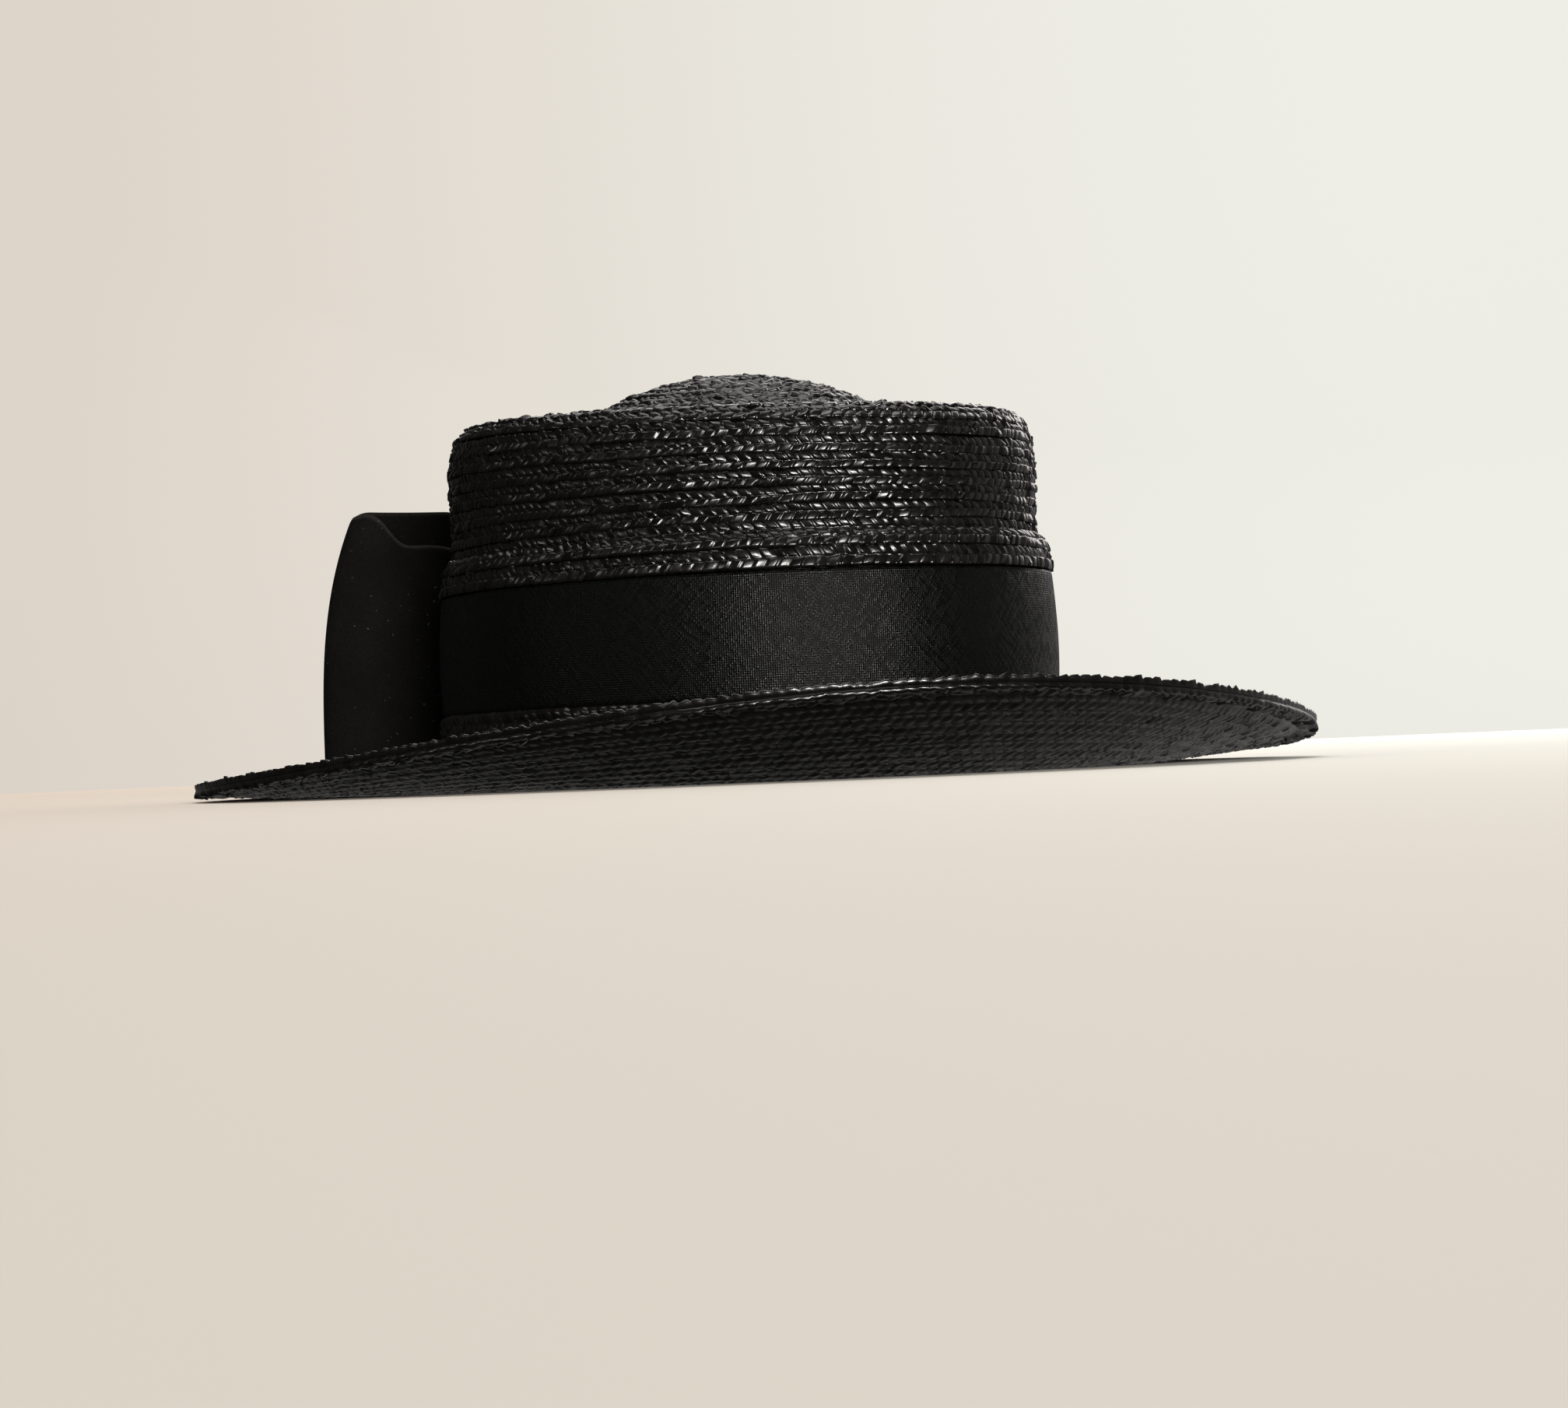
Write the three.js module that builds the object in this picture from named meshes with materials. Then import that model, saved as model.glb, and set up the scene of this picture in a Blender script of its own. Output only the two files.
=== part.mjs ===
// Wide brim hat of sewn straw braid with a cloth band and a bow at the back.
// Millimetres, +Z up, the front of the hat towards -Y, resting on the plane z = 0.
import * as THREE from 'three';

// Oval of the head opening and the thickness of the sewn braid
const HEAD_HALF_WIDTH = 83.5;
const HEAD_HALF_LENGTH = 98;
const HEAD_MEAN = (HEAD_HALF_WIDTH + HEAD_HALF_LENGTH) / 2;
const STRAW_THICK = 2.2;
const TURN_SEGMENTS = 60;

// Crown: the dome in the middle of the top is an arc
const DOME_APEX_Z = 117.5;
const DOME_RADIUS = 96;
const DOME_FOOT_RADIUS = 55;
const DOME_STEPS = 6;
// The top leans forward: rise for each millimetre towards the back, from the band's top up
const RIM_SLANT = 0.035;
const SLANT_START_Z = 66;
const SLANT_FULL_Z = 96;

// Brim: how far the edge turns up at the front, how soon that fades towards the back, and how
// far its highest place lies towards the wearer's right
const FRONT_TURN_UP = 20.4;
const TURN_UP_FADE = 3.6;
const TURN_UP_CENTRE = THREE.MathUtils.degToRad(-9);

// Cloth pieces
const BAND_THICK = 1.2;
const RIBBON_THICK = 1.6;
const KNOT_HALF_WIDTH = 13;
const KNOT_DEPTH = 13;
const KNOT_BOTTOM_Z = 22.4;
const KNOT_TOP_Z = 64;
const KNOT_SWELL = 0.14;
const KNOT_CORNER = 5;
const SEAT_GAP = 0.3;
const BOW_CENTRE_Y = HEAD_HALF_LENGTH + 3.3 + SEAT_GAP + KNOT_DEPTH / 2;
const LOOP_LENGTH = 77;
const LOOP_STEPS = 44;
const LOOP_ROWS = 6;
const FOLD_BOTTOM_Z = 3.8;
const FOLD_TOP_Z = 88;
const CINCH_BOTTOM_Z = 23.5;
const CINCH_TOP_Z = 62;
const INNER_LIP_DIP = 12;
const FOLD_LEAN = 13.5;
const FOLD_CORNER = 7;
const FOLD_CORNER_SHARE = 0.12;

// Outer face of the crown: out = distance outside the head oval, z = height
const CROWN_OUTSIDE = [
  { at: 'bottom edge', out: 1.1, z: 3.2 },
  { at: 'under the band', out: 1.1, z: 22 },
  { at: 'band top', out: 0.2, z: 54 },
  { at: 'lip seat', out: -0.7, z: 58 },
  { at: 'above the lip', out: -1.8, z: 67 },
  { at: 'wall top', out: -2.3, z: 95 },
  { at: 'rim shoulder', out: -3.6, z: 99.8 },
  { at: 'rim turn', out: -6.6, z: 103 },
  { at: 'rim crest', out: -11, z: 104.2 },
  { at: 'inner slope', out: -17, z: 102.3 },
  { at: 'lower slope', out: -23, z: 97.9 },
  { at: 'groove', out: -29, z: 95 },
];

// Lip of two braid rows over the band's top edge
const LIP_SECTION = [
  { out: -0.1, z: 56.3 },
  { out: 1.8, z: 56.3 },
  { out: 1.3, z: 61 },
  { out: 0.6, z: 65 },
  { out: -1.4, z: 66.4 },
];

// Brim, mid-thickness: turn = share of the front turn-up at that place
const BRIM_MIDDLE = [
  { at: 'collar top', out: 2.6, z: 21.4, turn: 0, thick: STRAW_THICK },
  { at: 'collar', out: 2.7, z: 12, turn: 0, thick: STRAW_THICK },
  { at: 'cove', out: 4.4, z: 5.4, turn: 0, thick: STRAW_THICK },
  { at: 'cove foot', out: 7.8, z: 2.2, turn: 0, thick: STRAW_THICK },
  { at: 'flat start', out: 12, z: 1.1, turn: 0, thick: STRAW_THICK },
  { at: 'flat end', out: 22, z: 1.1, turn: 0, thick: STRAW_THICK },
  { at: 'inner brim', out: 34, z: 1.15, turn: 0.15, thick: STRAW_THICK },
  { at: 'middle brim', out: 48, z: 1.3, turn: 0.41, thick: STRAW_THICK },
  { at: 'outer brim', out: 62, z: 1.7, turn: 0.73, thick: STRAW_THICK },
  { at: 'edge row', out: 69.5, z: 2.2, turn: 0.91, thick: 3.2 },
  { at: 'edge', out: 75, z: 2.5, turn: 1, thick: 3.2 },
];

// Outer face of the band
const BAND_OUTSIDE = [
  { out: 2.6, z: 21.8 },
  { out: 3.1, z: 30 },
  { out: 3.3, z: 40 },
  { out: 2.7, z: 49 },
  { out: 1.75, z: 55.9 },
];

// Bow loop in plan: along = distance from the knot, inner and outer = the two layers
const LOOP_PLAN = [
  { along: 0, inner: -2.6, outer: 2.6 },
  { along: 17, inner: -6, outer: 8 },
  { along: 37, inner: -8.5, outer: 14 },
  { along: 56, inner: -8, outer: 15 },
  { along: 71.5, inner: -3.5, outer: 11 },
];
const FOLD_TIP_OFFSET = 3.5;

const STRAW = { color: 0x1a1918, roughness: 0.38, metalness: 0 };
const BAND_CLOTH = { color: 0x0d0d0e, roughness: 0.6, metalness: 0 };
const BOW_CLOTH = { color: 0x101011, roughness: 0.85, metalness: 0 };

function smooth(value) {
  const t = Math.min(Math.max(value, 0), 1);
  return t * t * (3 - 2 * t);
}

// Oval with the head's proportions inside it and an even margin outside it
function onOval(radius, sine, cosine) {
  const share = Math.min(radius / HEAD_MEAN, 1);
  const margin = Math.max(radius - HEAD_MEAN, 0);
  const x = (HEAD_HALF_WIDTH * share + margin) * sine;
  const y = -(HEAD_HALF_LENGTH * share + margin) * cosine;
  return [x, y];
}

// Direction square to a profile at one station, to the left of its run
function sideways(points, i) {
  const before = points[Math.max(i - 1, 0)];
  const after = points[Math.min(i + 1, points.length - 1)];
  const run = after.clone().sub(before).normalize();
  return new THREE.Vector2(-run.y, run.x);
}

function shifted(points, distance) {
  return points.map((p, i) => {
    const d = Array.isArray(distance) ? distance[i] : distance;
    return p.clone().addScaledVector(sideways(points, i), d);
  });
}

function stations(table) {
  return table.map((row) => new THREE.Vector2(HEAD_MEAN + row.out, row.z));
}

// The front turn-up for a direction, given by the sine and cosine of its angle from the front
function turnUp(sine, cosine) {
  const along = cosine * Math.cos(TURN_UP_CENTRE) + sine * Math.sin(TURN_UP_CENTRE);
  return FRONT_TURN_UP * ((1 + along) / 2) ** TURN_UP_FADE;
}

// A closed profile turned round the oval; lift adds height by place
function turned(profile, lift) {
  const geometry = new THREE.LatheGeometry(profile, TURN_SEGMENTS);
  geometry.rotateX(Math.PI / 2);
  const place = geometry.attributes.position;
  for (let i = 0; i < place.count; i += 1) {
    const radius = Math.hypot(place.getX(i), place.getY(i));
    const sine = radius > 1e-9 ? place.getX(i) / radius : 0;
    const cosine = radius > 1e-9 ? -place.getY(i) / radius : 1;
    const [x, y] = onOval(radius, sine, cosine);
    const z = place.getZ(i);
    place.setXYZ(i, x, y, z + (lift ? lift(radius, sine, cosine, y, z) : 0));
  }
  return geometry;
}

function closed(points) {
  return [...points, points[0].clone()];
}

function crownGeometry() {
  const outside = stations(CROWN_OUTSIDE);
  const centreZ = DOME_APEX_Z - DOME_RADIUS;
  const sweep = Math.asin(DOME_FOOT_RADIUS / DOME_RADIUS);
  for (let i = 0; i <= DOME_STEPS; i += 1) {
    const angle = sweep * (1 - i / DOME_STEPS);
    const r = DOME_RADIUS * Math.sin(angle);
    outside.push(new THREE.Vector2(r, centreZ + DOME_RADIUS * Math.cos(angle)));
  }
  const inside = shifted(outside, STRAW_THICK);
  inside[0].y = outside[0].y;
  const last = outside.length - 1;
  outside[last].x = 0;
  inside[last].set(0, DOME_APEX_Z - STRAW_THICK);
  const slant = (radius, sine, cosine, y, z) => {
    const share = smooth((z - SLANT_START_Z) / (SLANT_FULL_Z - SLANT_START_Z));
    return RIM_SLANT * y * share;
  };
  return turned([...inside.reverse(), ...outside], slant);
}

function brimGeometry() {
  const middle = stations(BRIM_MIDDLE);
  const half = BRIM_MIDDLE.map((row) => row.thick / 2);
  const above = shifted(middle, half);
  const below = shifted(middle, half.map((h) => -h));
  const flat = BRIM_MIDDLE.findIndex((row) => row.at === 'flat start');
  below[flat].y = 0;
  below[flat + 1].y = 0;
  const shareAt = (radius) => {
    const out = radius - HEAD_MEAN;
    const next = BRIM_MIDDLE.findIndex((row) => row.out >= out);
    if (next === 0) return 0;
    if (next < 0) return 1;
    const a = BRIM_MIDDLE[next - 1];
    const b = BRIM_MIDDLE[next];
    return a.turn + (b.turn - a.turn) * (out - a.out) / (b.out - a.out);
  };
  const section = closed([...below, ...above.reverse()]);
  return turned(section, (radius, sine, cosine) => shareAt(radius) * turnUp(sine, cosine));
}

function bandGeometry() {
  const outside = stations(BAND_OUTSIDE);
  const inside = outside.map((p) => new THREE.Vector2(p.x - BAND_THICK, p.y));
  return turned(closed([...outside, ...inside.reverse()]));
}

// Plan curve of one bow loop, from the knot out along the inner layer and back along the outer
function loopPlan() {
  const inner = LOOP_PLAN.map((row) => new THREE.Vector2(row.along, row.inner));
  const outer = LOOP_PLAN.map((row) => new THREE.Vector2(row.along, row.outer));
  const tip = new THREE.Vector2(LOOP_LENGTH, FOLD_TIP_OFFSET);
  const start = new THREE.Vector2(0, 0);
  return new THREE.SplineCurve([start, ...inner, tip, ...outer.reverse(), start.clone()]);
}

// The ribbon's height at a place of the loop, and its lean towards the knot at the top
function loopPoint(plan, level, innerLayer, side) {
  const reach = plan.x / LOOP_LENGTH;
  const spread = smooth(reach * 1.7);
  const flare = smooth(reach * 1.5);
  const dip = innerLayer * INNER_LIP_DIP * smooth((1 - reach) * 4);
  const near = Math.min(Math.max((reach - 1) / FOLD_CORNER_SHARE + 1, 0), 1);
  const rounding = FOLD_CORNER * (1 - Math.sqrt(1 - near * near));
  const top = CINCH_TOP_Z + (FOLD_TOP_Z - CINCH_TOP_Z - dip) * flare - rounding;
  const bottom = CINCH_BOTTOM_Z + (FOLD_BOTTOM_Z - CINCH_BOTTOM_Z) * spread;
  const z = bottom + (top - bottom) * level;
  const lean = FOLD_LEAN * reach * ((z - FOLD_BOTTOM_Z) / (FOLD_TOP_Z - FOLD_BOTTOM_Z)) ** 3;
  const x = KNOT_HALF_WIDTH + SEAT_GAP + plan.x - lean;
  return [side * x, BOW_CENTRE_Y + plan.y, z];
}

// A ribbon loop: a wall along a closed plan curve, open above and below
function loopGeometry(side) {
  const plan = loopPlan().getSpacedPoints(LOOP_STEPS).slice(0, LOOP_STEPS);
  const count = plan.length;
  const across = [];
  for (let i = 0; i < count; i += 1) {
    const before = plan[(i + count - 1) % count];
    const after = plan[(i + 1) % count];
    const run = after.clone().sub(before).normalize();
    across.push(new THREE.Vector2(run.y, -run.x));
  }
  const nearKnot = RIBBON_THICK / 2;
  const ring = [];
  for (let r = 0; r < LOOP_ROWS; r += 1) ring.push({ level: r / (LOOP_ROWS - 1), face: 1 });
  for (let r = LOOP_ROWS - 1; r >= 0; r -= 1) ring.push({ level: r / (LOOP_ROWS - 1), face: -1 });
  const positions = [];
  for (let i = 0; i < count; i += 1) {
    const innerLayer = smooth(0.5 - plan[i].y / 8);
    for (const { level, face } of ring) {
      const p = plan[i].clone().addScaledVector(across[i], face * RIBBON_THICK / 2);
      p.x = Math.max(p.x + nearKnot, 0);
      positions.push(...loopPoint(p, level, innerLayer, side));
    }
  }
  const rows = ring.length;
  const index = [];
  for (let i = 0; i < count; i += 1) {
    for (let r = 0; r < rows; r += 1) {
      const a = i * rows + r;
      const b = i * rows + (r + 1) % rows;
      const c = ((i + 1) % count) * rows + (r + 1) % rows;
      const d = ((i + 1) % count) * rows + r;
      if (side > 0) index.push(a, d, b, b, d, c);
      else index.push(a, b, d, b, c, d);
    }
  }
  const geometry = new THREE.BufferGeometry();
  geometry.setAttribute('position', new THREE.Float32BufferAttribute(positions, 3));
  geometry.setIndex(index);
  return geometry;
}

// The wrap between the loops: a rounded block, fuller at mid height
function knotGeometry() {
  const w = KNOT_HALF_WIDTH;
  const d = KNOT_DEPTH / 2;
  const c = KNOT_CORNER;
  const plan = new THREE.Shape();
  plan.moveTo(-w + c, -d);
  plan.lineTo(w - c, -d);
  plan.absarc(w - c, -d + c, c, -Math.PI / 2, 0);
  plan.absarc(w - c, d - c, c, 0, Math.PI / 2);
  plan.lineTo(-w + c, d);
  plan.absarc(-w + c, d - c, c, Math.PI / 2, Math.PI);
  plan.absarc(-w + c, -d + c, c, Math.PI, Math.PI * 1.5);
  const height = KNOT_TOP_Z - KNOT_BOTTOM_Z;
  const geometry = new THREE.ExtrudeGeometry(plan, {
    depth: height, steps: 6, bevelEnabled: false, curveSegments: 4,
  });
  const place = geometry.attributes.position;
  for (let i = 0; i < place.count; i += 1) {
    const level = place.getZ(i) / height * 2 - 1;
    const narrow = 1 - KNOT_SWELL * level * level;
    const depth = (place.getY(i) + d) * narrow - d;
    place.setXYZ(i, place.getX(i), depth + BOW_CENTRE_Y, place.getZ(i) + KNOT_BOTTOM_Z);
  }
  return geometry;
}

const hat = new THREE.Group();
hat.name = 'wide_brim_straw_hat';

function add(name, geometry, finish) {
  const mesh = new THREE.Mesh(geometry, new THREE.MeshStandardMaterial(finish));
  mesh.name = name;
  hat.add(mesh);
}

add('crown', crownGeometry(), STRAW);
add('crown_lip', turned(closed(stations(LIP_SECTION))), STRAW);
add('brim', brimGeometry(), STRAW);
add('band', bandGeometry(), BAND_CLOTH);
add('bow_loop_right', loopGeometry(-1), BOW_CLOTH);
add('bow_loop_left', loopGeometry(1), BOW_CLOTH);
add('bow_knot', knotGeometry(), BOW_CLOTH);

export default hat;
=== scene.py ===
"""Wide brim hat of sewn straw braid with a cloth band and a bow at the back."""
import math

import bpy
import numpy as np
from mathutils import Matrix, Vector


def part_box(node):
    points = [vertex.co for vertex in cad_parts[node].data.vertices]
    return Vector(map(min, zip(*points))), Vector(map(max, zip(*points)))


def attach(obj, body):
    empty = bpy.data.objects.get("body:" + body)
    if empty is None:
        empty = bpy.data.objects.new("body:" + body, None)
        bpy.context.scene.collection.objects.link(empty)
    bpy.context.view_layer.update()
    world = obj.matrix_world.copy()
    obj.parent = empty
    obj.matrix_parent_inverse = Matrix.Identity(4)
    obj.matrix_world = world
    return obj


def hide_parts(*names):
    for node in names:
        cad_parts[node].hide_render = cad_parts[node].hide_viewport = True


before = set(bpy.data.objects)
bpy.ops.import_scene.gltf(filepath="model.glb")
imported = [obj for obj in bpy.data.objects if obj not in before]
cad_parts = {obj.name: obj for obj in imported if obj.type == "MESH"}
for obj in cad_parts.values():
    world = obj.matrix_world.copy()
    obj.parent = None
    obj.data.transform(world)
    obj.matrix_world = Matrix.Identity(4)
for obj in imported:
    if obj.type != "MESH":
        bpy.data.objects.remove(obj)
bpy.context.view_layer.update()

bl_info = {
    "name": "Straw braid hat",
    "version": (1, 0, 0),
    "blender": (4, 5, 0),
    "location": "View3D > Sidebar > Hat",
    "description": "Plaited straw rows, band, bow and studio for the wide brim hat",
    "category": "Object",
}

MM = 0.001
BODY = "root"

# Frame that the camera is fitted to, in pixels, and the width of its sensor in mm
PHOTO_WIDTH = 2015
PHOTO_HEIGHT = 1809
SENSOR = 36.0

# Oval of the head opening; the brim reaches an even margin outside it
BRIM_REACH = 75.15 * MM
HEAD_HALF_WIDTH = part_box("brim")[1].x - BRIM_REACH
HEAD_HALF_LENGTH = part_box("brim")[1].y - BRIM_REACH
HEAD_MEAN = (HEAD_HALF_WIDTH + HEAD_HALF_LENGTH) / 2

# The top of the crown leans forward from the lip up
CROWN_SLANT = 0.035
SLANT_FROM = 66 * MM
SLANT_OVER = 30 * MM
DOME_APEX = 117.5 * MM
DOME_RADIUS = 96 * MM
DOME_FOOT = 55 * MM
DOME_POINTS = 8
LEAST_RADIUS = 0.2 * MM

# The brim turns up at the front, highest a little towards the wearer's right, and lies low at the back
FRONT_TURN_UP = 20.4 * MM
TURN_UP_FADE = 3.6
TURN_UP_CENTRE = math.radians(-9)
STRAW_WALL = 2.2 * MM
FLOOR_CLEARANCE = 0.05 * MM

# Outer face of the crown below the dome: millimetres outside the head oval, height
CROWN_STATIONS = (
    ("groove", -29, 95),
    ("lower slope", -23, 97.9),
    ("inner slope", -17, 102.3),
    ("rim crest", -11, 104.2),
    ("rim turn", -6.6, 103),
    ("rim shoulder", -3.6, 99.8),
    ("wall top", -2.3, 95),
    ("above the lip", -1.8, 67),
    ("lip seat", -0.7, 58),
    ("band top", 0.2, 54),
    ("under the band", 1.1, 22),
    ("bottom edge", 1.1, 3.2),
)

# Two braid rows that stand proud of the crown over the band's top edge
LIP_STATIONS = (
    ("upper edge", -1.1, 66.8),
    ("upper row", 0.6, 65),
    ("middle", 1.8, 61),
    ("lower edge", 2.5, 56.2),
)

# Brim at mid-thickness: millimetres outside the head oval, height, share of the front turn-up
BRIM_STATIONS = (
    ("collar top", 2.6, 21.4, 0),
    ("collar", 2.7, 12, 0),
    ("cove", 4.4, 5.4, 0),
    ("cove foot", 7.8, 2.2, 0),
    ("flat start", 12, 1.1, 0),
    ("flat end", 22, 1.1, 0),
    ("inner brim", 34, 1.15, 0.15),
    ("middle brim", 48, 1.3, 0.41),
    ("outer brim", 62, 1.7, 0.73),
    ("edge row", 69.5, 2.2, 0.91),
    ("edge", 75, 2.5, 1),
)

# Faces of one braid row, the outer one from its tucked edge to its free edge and the inner one back:
# share of the width, height in mm, slant in plaits, share of the relief, line of strands.
# Outer face on the crown and the lip
FINE_OUTER_FACE = (
    (0.00, -1.75, 0.00, 0.0, 0),
    (0.19, -1.25, 0.02, 0.3, 0),
    (0.26, -0.64, 0.06, 0.8, 0),
    (0.33, -0.50, 0.16, 1.0, 0),
    (0.53, -0.42, 0.44, 1.0, 0),
    (0.57, -0.47, 0.49, 0.8, 0),
    (0.61, -0.60, 0.54, 0.3, 0),
    (0.645, -0.50, 1.00, 0.8, 1),
    (0.68, -0.40, 0.96, 0.95, 1),
    (0.72, -0.34, 0.90, 1.0, 1),
    (0.90, -0.16, 0.66, 1.0, 1),
    (0.97, -0.24, 0.56, 0.9, 1),
    (1.00, -0.60, 0.54, 0.5, 1),
)
# Inner face on the crown and the lip
PLAIN_INNER_FACE = (
    (0.97, -1.05, 0.56, 0.0, 1),
    (0.50, -1.65, 0.50, -0.6, 1),
    (0.03, -1.95, 0.00, 0.0, 0),
)
# The brim from above and from below, where both faces show
BRIM_TOP_FACE = (
    (0.00, -1.75, 0.00, 0.0, 0),
    (0.19, -1.25, 0.02, 0.3, 0),
    (0.26, -0.64, 0.06, 0.8, 0),
    (0.33, -0.50, 0.16, 1.0, 0),
    (0.54, -0.42, 0.46, 1.0, 0),
    (0.61, -0.60, 0.54, 0.3, 0),
    (0.68, -0.38, 0.96, 1.0, 1),
    (0.90, -0.16, 0.66, 1.0, 1),
    (0.97, -0.24, 0.56, 0.9, 1),
    (1.00, -0.60, 0.54, 0.5, 1),
)
BRIM_UNDER_FACE = (
    (0.97, -1.05, 0.56, 0.0, 1),
    (0.72, -1.50, 0.60, -0.2, 1),
    (0.65, -1.70, 0.66, -0.6, 1),
    (0.44, -1.88, 0.96, -0.6, 1),
    (0.37, -1.82, 0.54, -0.2, 0),
    (0.30, -2.03, 0.46, -0.6, 0),
    (0.08, -2.28, 0.16, -0.6, 0),
    (0.02, -2.18, 0.06, -0.4, 0),
    (0.00, -1.90, 0.04, 0.0, 0),
)
# Where the two rows of the doubled edge lie on each other
EDGE_INNER_FACE = (
    (0.97, -1.60, 0.54, 0.0, 1),
    (0.60, -1.75, 0.50, 0.0, 1),
    (0.05, -1.90, 0.00, 0.0, 0),
)
# Outer face of the crown's rows that the band and the collar cover
COVERED_OUTER_FACE = (
    (0.00, -1.75, 0.00, 0.0, 0),
    (0.33, -0.50, 0.14, 0.6, 0),
    (0.85, -0.10, 0.20, 0.6, 1),
    (1.00, -0.48, 0.00, 0.0, 1),
)

# Points across one strand of the plait, from the groove beside it: share of the plait,
# height, and how far the strand's roll lifts the point
FINE_STRAND = (
    (0.0, -0.4, 0.0),
    (0.14, 0.88, -1.29),
    (0.3, 1.02, -0.71),
    (0.7, 1.02, 0.71),
    (0.86, 0.88, 1.29),
)
BRIM_STRAND = ((0.0, -0.1, 0.0), (0.22, 1.0, -1.0), (0.78, 1.0, 1.0))
COVERED_STRAND = ((0.0, 0.2, 0.0), (0.5, 1.0, 0.0))

# Bow loop in plan, in mm: distance from the knot, and the inner and the outer layer
# on either side of its middle line
LOOP_PLAN = (
    (0, -2.6, 2.6),
    (17, -6, 8),
    (37, -8.5, 14),
    (56, -8, 15),
    (71.5, -3.5, 11),
)
LOOP_TIP = (77, 3.5)

LINE_SPACING = 0.5 * MM
MERGE_WITHIN = 0.01 * MM


def smooth(value):
    """Eases from 0 to 1 as the value goes from 0 to 1."""
    t = np.clip(value, 0, 1)
    return t * t * (3 - 2 * t)


def spline(points, spacing):
    """A smooth line through the points, with new points about spacing apart."""
    points = np.asarray(points, float)
    chord = np.linalg.norm(np.diff(points[:, :2], axis=0), axis=1)
    at = np.concatenate([[0], np.cumsum(chord)])
    slope = np.gradient(points, at, axis=0)
    fine = np.linspace(0, at[-1], max(int(at[-1] / spacing), 2) + 1)
    i = np.clip(np.searchsorted(at, fine, side="right") - 1, 0, len(at) - 2)
    run = (at[i + 1] - at[i])[:, None]
    t = (fine - at[i])[:, None] / run
    start, end = points[i], points[i + 1]
    return (
        (2 * t**3 - 3 * t**2 + 1) * start
        + (t**3 - 2 * t**2 + t) * run * slope[i]
        + (3 * t**2 - 2 * t**3) * end
        + (t**3 - t**2) * run * slope[i + 1]
    )


class Profile:
    """A line in the plane of radius and height, measured from the hat's middle outwards and down."""

    MARGIN = 12 * MM
    SPACING = 0.25 * MM

    def __init__(self, points):
        line = spline(points, self.SPACING)
        first, last = line[1] - line[0], line[-1] - line[-2]
        first = first * self.MARGIN / np.linalg.norm(first[:2])
        last = last * self.MARGIN / np.linalg.norm(last[:2])
        line = np.vstack([line[0] - first, line, line[-1] + last])
        step = np.linalg.norm(np.diff(line[:, :2], axis=0), axis=1)
        self.line = line
        self.along = np.concatenate([[0], np.cumsum(step)]) - self.MARGIN
        self.length = self.along[-1] - self.MARGIN
        run = np.gradient(line[:, :2], self.along, axis=0)
        run /= np.linalg.norm(run, axis=1)[:, None]
        self.normal = np.stack([-run[:, 1], run[:, 0]], axis=1)

    def at(self, along, height):
        """Radius, height and further columns of points that lie height above the line."""
        column = [np.interp(along, self.along, c) for c in self.line.T]
        nr, nz = (np.interp(along, self.along, c) for c in self.normal.T)
        column[0] = column[0] + nr * height
        column[1] = column[1] + nz * height
        return column


def on_oval(radius, angle):
    """Plan position: the head's proportions inside its oval, an even margin outside."""
    share = np.minimum(radius / HEAD_MEAN, 1)
    margin = np.maximum(radius - HEAD_MEAN, 0)
    x = (HEAD_HALF_WIDTH * share + margin) * np.sin(angle)
    y = -(HEAD_HALF_LENGTH * share + margin) * np.cos(angle)
    return x, y


def crown_place(profile, along, height, angle):
    radius, z = profile.at(along, height)
    x, y = on_oval(np.maximum(radius, LEAST_RADIUS), angle)
    return np.stack([x, y, z + CROWN_SLANT * y * smooth((z - SLANT_FROM) / SLANT_OVER)], axis=-1)


def lip_place(profile, along, height, angle):
    radius, z = profile.at(along, height)
    return np.stack([*on_oval(radius, angle), z], axis=-1)


def brim_place(profile, along, height, angle):
    radius, z, turn = profile.at(along, height + STRAW_WALL / 2)
    lift = FRONT_TURN_UP * ((1 + np.cos(angle - TURN_UP_CENTRE)) / 2) ** TURN_UP_FADE
    x, y = on_oval(radius, angle)
    return np.stack([x, y, np.maximum(z + turn * lift, FLOOR_CLEARANCE)], axis=-1)


def profile_of(stations):
    return Profile([(HEAD_MEAN + row[1] * MM, row[2] * MM, *row[3:]) for row in stations])


def crown_profile():
    centre = DOME_APEX - DOME_RADIUS
    sweep = math.asin(DOME_FOOT / DOME_RADIUS)
    dome = [
        (DOME_RADIUS * math.sin(a), centre + DOME_RADIUS * math.cos(a))
        for a in np.linspace(0, sweep, DOME_POINTS)
    ]
    rest = [(HEAD_MEAN + out * MM, z * MM) for _, out, z in CROWN_STATIONS]
    return Profile(dome + rest)


def strand_middles(across, relief, line):
    """For each point of a section, the middle of the strand that it lies on."""
    nearly_full = 0.9
    middles = np.zeros_like(across)
    for face in (relief >= 0, relief < 0):
        for of_line in (line == 0, line == 1):
            strand = face & of_line
            if strand.any():
                full = strand & (np.abs(relief) >= nearly_full * np.abs(relief[strand]).max())
                middles[strand] = across[full].mean()
    return middles


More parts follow.
